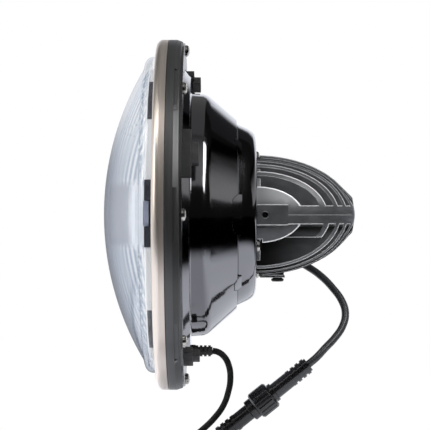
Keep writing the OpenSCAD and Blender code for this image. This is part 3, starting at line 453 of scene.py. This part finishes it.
# Lengths in metres. A row of four is a smooth step, as for the casting.
lensLook = {
    "domeRadius": 0.144,
    "wall": 0.0022,
    "outerSkin": (-0.0002, 0.0002, 0.0, 1.0),  # from the middle of the wall
    "pitch": 0.0057,  # from one flute to the next
    "clearHalf": 0.0156,  # half the height of the clear band, and the steps at its edge
    "clearEdge": (-0.001, 0.001, 1.0, 0.0),
    "fluteStart": (-0.0008, 0.0016, 0.0, 1.0),
    "tierHeight": 0.0425,
    "fluteReach": 0.0715,  # radius at which the flutes end, and the steps there
    "fluteEnd": (-0.001, 0.0005, 1.0, 0.0),
    "rimStart": (-0.0035, 0.0, 0.0, 1.0),
    "rimEnd": (0.0005, 0.003, 1.0, 0.0),
    "groove": (-0.6, 0.7, 1.0, 0.0),
    "tierGap": (0.0003, 0.0012, 0.0, 1.0),
    "tierLine": (0.0002, 0.0010, 0.6, 0.0),
    "speckleScale": 420,
    "speckle": (0.40, 0.55, 0.0, 1.0),
    "upwards": (0.012, 0.06, 0.0, 0.8),
    "bandSlope": (0.6, 0.65, 0.0, 1.0),
    # Painted shade: the clear lens is painted darker towards its silhouette, where the dark room shows
    # through it bent.
    "silhouetteShade": (
        (0.3, (0.98, 0.985, 0.99)), (0.5, (0.93, 0.94, 0.96)), (0.62, (0.84, 0.86, 0.895)),
        (0.72, (0.69, 0.72, 0.765)), (0.78, (0.58, 0.61, 0.66)), (0.86, (0.34, 0.37, 0.42)),
        (1.0, (0.22, 0.245, 0.285)),
    ),
    # painted reflection of the light above, on the lens's upper part
    "upperSheen": (0.95, 0.96, 0.975),
    "band": (0.87, 0.89, 0.92),
    "bandEdge": (0.74, 0.755, 0.785),
    # colours of the painted shade in the flutes, paler on the upper part, and of the dark marks
    "grooveShade": (0.70, 0.75, 0.81),
    "upperGroove": (0.86, 0.88, 0.91),
    "markShade": (0.50, 0.57, 0.65),
    "shadow": (0.95, 0.95, 0.95, 1),
    "haze": (0.9, 0.93, 0.97, 1),
    "hazeShare": 0.04,
    "gloss": 0.13,  # roughness
    "glossLimit": 0.2,
    "ior": 1.45,
}


# Painted shade of the flutes: darker bands where they bend away the light that crosses the lens's inner
# face, and broken dark marks at the tier break and round the rim.
def fluteShade(tree, axes):
    height = calculate(tree, "ABSOLUTE", axes["Z"])
    across = calculate(tree, "MULTIPLY", axes["Y"], 2 * math.pi / lensLook["pitch"])
    wave = smoothRange(tree, calculate(tree, "COSINE", across), *lensLook["groove"])
    clear, tier, reach = lensLook["clearHalf"], lensLook["tierHeight"], lensLook["fluteReach"]
    above = stepAt(tree, height, clear, lensLook["fluteStart"])
    fromTier = calculate(tree, "ABSOLUTE", calculate(tree, "SUBTRACT", height, tier))
    offTier = smoothRange(tree, fromTier, *lensLook["tierGap"])
    squares = [calculate(tree, "POWER", value, 2.0) for value in (axes["Y"], height)]
    radius = calculate(tree, "SQRT", calculate(tree, "ADD", *squares))
    inside = stepAt(tree, radius, reach, lensLook["fluteEnd"])
    grooves = product(tree, wave, offTier, above, inside)
    tierLine = product(tree, smoothRange(tree, fromTier, *lensLook["tierLine"]), inside)
    speckle = smoothRange(tree, objectNoise(tree, lensLook["speckleScale"]), *lensLook["speckle"])
    rim = product(tree, stepAt(tree, radius, reach, lensLook["rimStart"]),
                  stepAt(tree, radius, reach, lensLook["rimEnd"]))
    shadeMarks = calculate(tree, "MAXIMUM", tierLine, rim)
    return grooves, product(tree, shadeMarks, speckle, above)


def clearFinish():
    material = bpy.data.materials.new("clearLens")
    material.use_nodes = True
    tree = material.node_tree
    tree.nodes.clear()
    link = tree.links.new
    output = addNode(tree, "ShaderNodeOutputMaterial")
    light = addNode(tree, "ShaderNodeLightPath")
    place = addNode(tree, "ShaderNodeTexCoord")
    axes = separated(tree, place.outputs["Object"])
    facing = addNode(tree, "ShaderNodeLayerWeight", Blend=0.5)
    ramp = addNode(tree, "ShaderNodeValToRGB")
    stops = ramp.color_ramp.elements
    for stop, (position, color) in zip((stops[0], stops[1]), (lensLook["silhouetteShade"][0], lensLook["silhouetteShade"][-1])):
        stop.position = position
        stop.color = (*color, 1)
    for position, color in lensLook["silhouetteShade"][1:-1]:
        stops.new(position).color = (*color, 1)
    link(facing.outputs["Facing"], ramp.inputs["Fac"])

    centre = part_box("lens")[0][0] + lensLook["domeRadius"]
    fromCentre = addNode(tree, "ShaderNodeVectorMath", operation="DISTANCE")
    fromCentre.inputs[1].default_value = (centre, 0, 0)
    link(place.outputs["Object"], fromCentre.inputs[0])
    middle = lensLook["domeRadius"] - lensLook["wall"] / 2
    outer = stepAt(tree, fromCentre.outputs["Value"], middle, lensLook["outerSkin"])
    # Painted reflection: the lens's upper part is painted paler, as it mirrors the light above; the clear
    # band is painted darker towards the silhouette.
    paler = smoothRange(tree, axes["Z"], *lensLook["upwards"])
    skin = mixedColor(tree, paler, ramp.outputs["Color"], lensLook["upperSheen"])
    grooves, shadeMarks = fluteShade(tree, axes)
    height = calculate(tree, "ABSOLUTE", axes["Z"])
    band = stepAt(tree, height, lensLook["clearHalf"], lensLook["clearEdge"])
    slope = smoothRange(tree, facing.outputs["Facing"], *lensLook["bandSlope"])
    bandShade = mixedColor(tree, slope, lensLook["band"], lensLook["bandEdge"])
    plain = mixedColor(tree, band, (1.0, 1.0, 1.0), bandShade)
    grooveShade = mixedColor(tree, paler, lensLook["grooveShade"], lensLook["upperGroove"])
    flutes = mixedColor(tree, grooves, plain, grooveShade)
    flutes = mixedColor(tree, shadeMarks, flutes, lensLook["markShade"])
    clear = addNode(tree, "ShaderNodeBsdfTransparent")
    link(mixedColor(tree, outer, flutes, skin), clear.inputs["Color"])

    shadow = addNode(tree, "ShaderNodeBsdfTransparent", Color=lensLook["shadow"])
    gloss = addNode(tree, "ShaderNodeBsdfGlossy", Color=(1, 1, 1, 1), Roughness=lensLook["gloss"])
    haze = addNode(tree, "ShaderNodeBsdfTranslucent", Color=lensLook["haze"])
    shine = addNode(tree, "ShaderNodeMixShader")
    fresnel = addNode(tree, "ShaderNodeFresnel", IOR=lensLook["ior"])
    side = addNode(tree, "ShaderNodeNewGeometry")
    front = calculate(tree, "SUBTRACT", 1.0, side.outputs["Backfacing"])
    capped = calculate(tree, "MINIMUM", fresnel.outputs["Fac"], lensLook["glossLimit"])
    link(product(tree, capped, outer, front), shine.inputs["Fac"])
    misty = addNode(tree, "ShaderNodeMixShader", Fac=lensLook["hazeShare"])
    mix = addNode(tree, "ShaderNodeMixShader")
    link(clear.outputs["BSDF"], misty.inputs[1])
    link(haze.outputs["BSDF"], misty.inputs[2])
    link(misty.outputs["Shader"], shine.inputs[1])
    link(gloss.outputs["BSDF"], shine.inputs[2])
    link(light.outputs["Is Shadow Ray"], mix.inputs["Fac"])
    link(shine.outputs["Shader"], mix.inputs[1])
    link(shadow.outputs["BSDF"], mix.inputs[2])
    link(mix.outputs["Shader"], output.inputs["Surface"])
    return material


finishes["lens"] = clearFinish()
slotOf = {row["node"]: row["material_slot"] for row in frame["record"]["subparts"]}
for name, node in nodes.items():
    node.data.materials.clear()
    node.data.materials.append(finishes[slotOf[name]])
for lead, slot in ((lampCord, "cord"), (pigtailCord, "cord"), (markerCord, "braid")):
    lead.data.materials.append(finishes[slot])
print("finishes ready")


# Pieces that stand for a CAD node with its edges rounded

roundWidth = {
    "nut": 0.0002,
    "heatsink": 0.0004,
    "pan": 0.0005,
    "cap": 0.0004,
    "lug": 0.00035,
    "foot": 0.0002,
}
lugCount = 4
weldDistance = 0.000002
flatAngle = math.radians(0.5)


def softened(nodeName, pieceName, width, segments=2, angle=35, shape=None):
    mesh = bmesh.new()
    mesh.from_mesh(nodes[nodeName].data)
    bmesh.ops.remove_doubles(mesh, verts=mesh.verts, dist=weldDistance)
    bmesh.ops.dissolve_limit(mesh, angle_limit=flatAngle, verts=mesh.verts, edges=mesh.edges)
    if shape:
        shape(mesh)
    sharp = [e for e in mesh.edges if e.is_manifold and e.calc_face_angle(0) > math.radians(angle)]
    bmesh.ops.bevel(
        mesh, geom=sharp, offset=width, offset_type="OFFSET", segments=segments, profile=0.5, affect="EDGES",
        clamp_overlap=True, material=-1,
    )
    data = bpy.data.meshes.new(pieceName)
    mesh.to_mesh(data)
    mesh.free()
    for face in data.polygons:
        face.use_smooth = True
    data.set_sharp_from_angle(angle=math.radians(angle))
    data.materials.append(finishes[slotOf[nodeName]])
    piece = bpy.data.objects.new(pieceName, data)
    scene.collection.objects.link(piece)
    piece.modifiers.new("weights", "WEIGHTED_NORMAL").keep_sharp = True
    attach(piece, "root")
    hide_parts(nodeName)
    return piece


panShoulder = {
    "start": (0.0144, 0.06171),  # x and radius where the round shoulder leaves the wall
    "corner": (0.017, 0.06155),
    "end": (0.02, 0.05893),  # where it meets the cone
    "rings": 9,
    "reach": 0.0012,  # how far off the round a point may lie and still be moved on to it
}


# The pan's wall runs into its cone over one long round
def roundShoulder(mesh):
    start, corner, end = panShoulder["start"], panShoulder["corner"], panShoulder["end"]
    for i in range(1, panShoulder["rings"]):
        station = start[0] + (end[0] - start[0]) * i / panShoulder["rings"]
        bmesh.ops.bisect_plane(
            mesh, geom=mesh.verts[:] + mesh.edges[:] + mesh.faces[:], dist=weldDistance / 2,
            plane_co=(station, 0, 0), plane_no=(1, 0, 0),
        )
    for v in mesh.verts:
        share = (v.co.x - start[0]) / (end[0] - start[0])
        radius = math.hypot(v.co.y, v.co.z)
        if 0 < share < 1 and radius > 0:
            wanted = (1 - share) ** 2 * start[1] + 2 * share * (1 - share) * corner[1]
            wanted += share ** 2 * end[1]
            if abs(radius - wanted) < panShoulder["reach"]:
                v.co.y *= wanted / radius
                v.co.z *= wanted / radius


nutPiece = softened("coupling_nut", "ribbed_nut", roundWidth["nut"])
softened("heatsink", "finned_heatsink", roundWidth["heatsink"])
softened("pan", "gloss_pan", roundWidth["pan"], segments=3, angle=28, shape=roundShoulder)
softened("rear_cap", "gloss_cap", roundWidth["cap"], segments=3, angle=28)
for index in range(1, lugCount + 1):
    softened(f"locating_lug_{index}", f"lug_{index}", roundWidth["lug"])
softened("breather_plate", "foot_plate", roundWidth["foot"])
print("softened pieces ready")


# Floor, backdrop, world and lamps

def planeObject(name, corners):
    mesh = bmesh.new()
    mesh.faces.new([mesh.verts.new(c) for c in corners])
    data = bpy.data.meshes.new(name)
    mesh.to_mesh(data)
    mesh.free()
    plane = bpy.data.objects.new(name, data)
    scene.collection.objects.link(plane)
    return plane


# What the gloss black housing shows of the floor: a lit pool, and a dark strip behind it.
# Lengths in metres. A row of four is a smooth step, as for the casting.
floorLook = {
    "rightReach": 0.325,
    "leftReach": 0.9,
    "frontReach": (-0.05, 0.0, 0.34, 0.235),
    "poolEdge": (0.45, 1.1, 1.0, 0.0),
    "towardsRight": (0.03, 0.12, 0.62, 1.0),
    "towardsLeft": (-0.035, 0.02, 1.1, 0.0),
    "farSide": (0.23, 0.235, 0.0, 1.0),
    "stripFront": (0.19, 0.2, 1.0, 0.0),
}
backdropFade = (0.75, 1.25, 1.0, 0.03)


def floorGlow(tree, axes):
    right = calculate(tree, "DIVIDE", calculate(tree, "MAXIMUM", axes["X"], 0.0), floorLook["rightReach"])
    left = calculate(tree, "DIVIDE", calculate(tree, "MINIMUM", axes["X"], 0.0), floorLook["leftReach"])
    across = calculate(tree, "ADD", right, left)
    depth = smoothRange(tree, axes["X"], *floorLook["frontReach"])
    front = calculate(tree, "DIVIDE", calculate(tree, "MINIMUM", axes["Y"], 0.0), depth)
    squares = [calculate(tree, "POWER", value, 2.0) for value in (across, front)]
    pool = smoothRange(tree, calculate(tree, "ADD", *squares), *floorLook["poolEdge"])
    toRight = smoothRange(tree, axes["X"], *floorLook["towardsRight"])
    toLeft = smoothRange(tree, axes["X"], *floorLook["towardsLeft"])
    level = calculate(tree, "ADD", toRight, toLeft)
    farSide = smoothRange(tree, axes["Y"], *floorLook["farSide"])
    strip = smoothRange(tree, axes["Y"], *floorLook["stripFront"])
    return calculate(tree, "MAXIMUM", product(tree, pool, level, strip), farSide)


def backdropGlow(tree, axes):
    return smoothRange(tree, axes["Z"], *backdropFade)


studio = {
    "paint": (0.92, 0.92, 0.92, 1),
    "mirrored": (0.91, 0.93, 1, 1),
    "shadowRing": (0.2, 0.7),  # from the lamp out, the shadow on the floor fades into plain white
    "floorShadow": 0.08,  # share of the floor's own shading that the camera sees
    "left": -3,
    "right": 3,
    "front": -2.2,
    "back": 1.8,
    "top": 2.6,
    "roomColor": (0.97, 0.98, 1, 1),
    "roomLevel": 0.3,
    "darkColor": (1, 0.94, 0.88, 1),
    "darkLevel": 0.012,
}


def studioFinish(name, shadow, glow):
    material = bpy.data.materials.new(name)
    material.use_nodes = True
    tree = material.node_tree
    tree.nodes.clear()
    link = tree.links.new
    output = addNode(tree, "ShaderNodeOutputMaterial")
    light = addNode(tree, "ShaderNodeLightPath")
    diffuse = addNode(tree, "ShaderNodeBsdfDiffuse", Color=studio["paint"])
    white = addNode(tree, "ShaderNodeEmission", Color=(1, 1, 1, 1), Strength=1.0)
    mirror = addNode(tree, "ShaderNodeEmission", Color=studio["mirrored"])
    place = addNode(tree, "ShaderNodeTexCoord")
    axes = separated(tree, place.outputs["Object"])
    first = addNode(tree, "ShaderNodeMixShader")
    second = addNode(tree, "ShaderNodeMixShader")
    seen = calculate(tree, "MAXIMUM", light.outputs["Is Camera Ray"], light.outputs["Is Transmission Ray"])
    squares = [calculate(tree, "POWER", axes[axis], 2.0) for axis in ("X", "Y")]
    apart = calculate(tree, "SQRT", calculate(tree, "ADD", *squares))
    shown = smoothRange(tree, apart, *studio["shadowRing"], 1 - shadow, 1.0)
    link(product(tree, seen, shown), first.inputs["Fac"])
    link(diffuse.outputs["BSDF"], first.inputs[1])
    link(white.outputs["Emission"], first.inputs[2])
    link(glow(tree, axes), mirror.inputs["Strength"])
    link(light.outputs["Is Glossy Ray"], second.inputs["Fac"])
    link(first.outputs["Shader"], second.inputs[1])
    link(mirror.outputs["Emission"], second.inputs[2])
    link(second.outputs["Shader"], output.inputs["Surface"])
    return material


left, right, front, back = (studio[side] for side in ("left", "right", "front", "back"))
floor = planeObject("floor", [
    (left, front, floorZ), (right, front, floorZ), (right, back, floorZ), (left, back, floorZ),
])
floor.data.materials.append(studioFinish("paleFloor", studio["floorShadow"], floorGlow))
backdrop = planeObject("backdrop", [
    (left, back, floorZ), (right, back, floorZ), (right, back, studio["top"]), (left, back, studio["top"]),
])
backdrop.data.materials.append(studioFinish("paleBackdrop", 0.0, backdropGlow))


def makeWorld():
    world = bpy.data.worlds.new("studio")
    scene.world = world
    world.use_nodes = True
    tree = world.node_tree
    tree.nodes.clear()
    output = addNode(tree, "ShaderNodeOutputWorld")
    light = addNode(tree, "ShaderNodeLightPath")
    room = addNode(tree, "ShaderNodeBackground", Color=studio["roomColor"], Strength=studio["roomLevel"])
    dark = addNode(tree, "ShaderNodeBackground", Color=studio["darkColor"], Strength=studio["darkLevel"])
    white = addNode(tree, "ShaderNodeBackground", Color=(1, 1, 1, 1), Strength=1.0)
    seen = calculate(tree, "MAXIMUM", light.outputs["Is Camera Ray"], light.outputs["Is Transmission Ray"])
    first = addNode(tree, "ShaderNodeMixShader")
    second = addNode(tree, "ShaderNodeMixShader")
    link = tree.links.new
    link(light.outputs["Is Glossy Ray"], first.inputs["Fac"])
    link(room.outputs["Background"], first.inputs[1])
    link(dark.outputs["Background"], first.inputs[2])
    link(seen, second.inputs["Fac"])
    link(first.outputs["Shader"], second.inputs[1])
    link(white.outputs["Background"], second.inputs[2])
    link(second.outputs["Shader"], output.inputs["Surface"])


def softbox(name, place, target, width, height, power, level=False, mirrored=True):
    data = bpy.data.lights.new(name, "AREA")
    data.shape = "RECTANGLE"
    data.size = width
    data.size_y = height
    data.energy = power
    lamp = bpy.data.objects.new(name, data)
    lamp.location = place
    away = (Vector(place) - Vector(target)).normalized()
    if level:
        side = (Vector((1, 0, 0)) - away * away.x).normalized()
        lamp.rotation_euler = Matrix((side, away.cross(side), away)).transposed().to_euler()
    else:
        lamp.rotation_euler = away.to_track_quat("Z", "Y").to_euler()
    lamp.visible_glossy = mirrored
    scene.collection.objects.link(lamp)


# A reflector board that only gloss shows. It fades along Z, and towards its ends along the other axis.
def board(name, corners, level, rise, axis, span, fade=0.12):
    plane = planeObject(name, corners)
    material = bpy.data.materials.new(name)
    material.use_nodes = True
    tree = material.node_tree
    tree.nodes.clear()
    output = addNode(tree, "ShaderNodeOutputMaterial")
    glow = addNode(tree, "ShaderNodeEmission", Color=(1, 1, 1, 1))
    place = addNode(tree, "ShaderNodeTexCoord")
    axes = separated(tree, place.outputs["Object"])
    along = axes[axis]
    start = smoothRange(tree, along, span[0], span[0] + fade, 0.0, 1.0)
    stop = smoothRange(tree, along, span[1] - fade, span[1], 1.0, 0.0)
    height = smoothRange(tree, axes["Z"], *rise, level, 0.0)
    tree.links.new(product(tree, height, start, stop), glow.inputs["Strength"])
    tree.links.new(glow.outputs["Emission"], output.inputs["Surface"])
    plane.data.materials.append(material)
    plane.visible_camera = False
    plane.visible_diffuse = False
    plane.visible_shadow = False
    plane.visible_transmission = False


# Where each lamp stands and aims, its size in metres and its power in watts
lamps = (
    {"name": "keyBox", "place": (0.52, -0.57, 0.66), "target": (0.01, 0, 0), "width": 0.3, "height": 0.8,
     "power": 4.2, "level": True},
    {"name": "finBox", "place": (0.62, 0.16, 1.05), "target": (0.06, 0, 0), "width": 0.4, "height": 0.4,
     "power": 7.0, "mirrored": False},
    {"name": "lensBox", "place": (-0.9, -0.35, 0.5), "target": (-0.02, 0, 0), "width": 0.5, "height": 0.9,
     "power": 4.0},
    {"name": "bandBox", "place": (-0.36, -0.5, 0.86), "target": (0, 0, 0), "width": 0.4, "height": 0.3,
     "power": 2.2},
    {"name": "sideStrip", "place": (-0.78, 0.46, 0.0), "target": (-0.02, 0, 0), "width": 0.08,
     "height": 0.24, "power": 0.14},
    {"name": "topBox", "place": (0.05, 0.35, 1.2), "target": (0.03, 0, 0), "width": 1.4, "height": 0.9,
     "power": 6.0, "mirrored": False},
)
boards = (
    {"name": "rightBoard", "level": 0.46, "rise": (0.24, 0.7), "axis": "Y", "span": (-0.36, 0.7),
     "fade": 0.06, "corners": [(1.0, -0.36, 0.14), (1.0, 0.7, 0.14), (1.0, 0.7, 0.8), (1.0, -0.36, 0.8)]},
    {"name": "leftBoard", "level": 0.95, "rise": (0.5, 0.95), "axis": "Y", "span": (-1.0, 2.0),
     "corners": [(-1.25, -1.0, floorZ), (-1.25, 1.8, floorZ), (-1.25, 1.8, 1.0), (-1.25, -1.0, 1.0)]},
    {"name": "frontBoard", "level": 0.3, "rise": (0.8, 1.7), "axis": "X", "span": (-0.13, 0.65),
     "corners": [(-0.13, -1.1, 0.55), (0.65, -1.1, 0.55), (0.65, -0.33, 1.43), (-0.13, -0.33, 1.43)]},
    {"name": "overBoard", "level": 0.13, "rise": (1.2, 1.3), "axis": "X", "span": (-0.3, 0.5),
     "corners": [(-0.3, -0.25, 1.1), (0.5, -0.25, 1.1), (0.5, 1.6, 1.1), (-0.3, 1.6, 1.1)]},
)

makeWorld()
for row in lamps:
    softbox(**row)
for row in boards:
    board(**row)
for name in ("lamp_plug", "plug_blades", "marker_plug"):
    nodes[name].visible_glossy = False  # they lie under the lamp, out of the photo's view
print("studio ready")
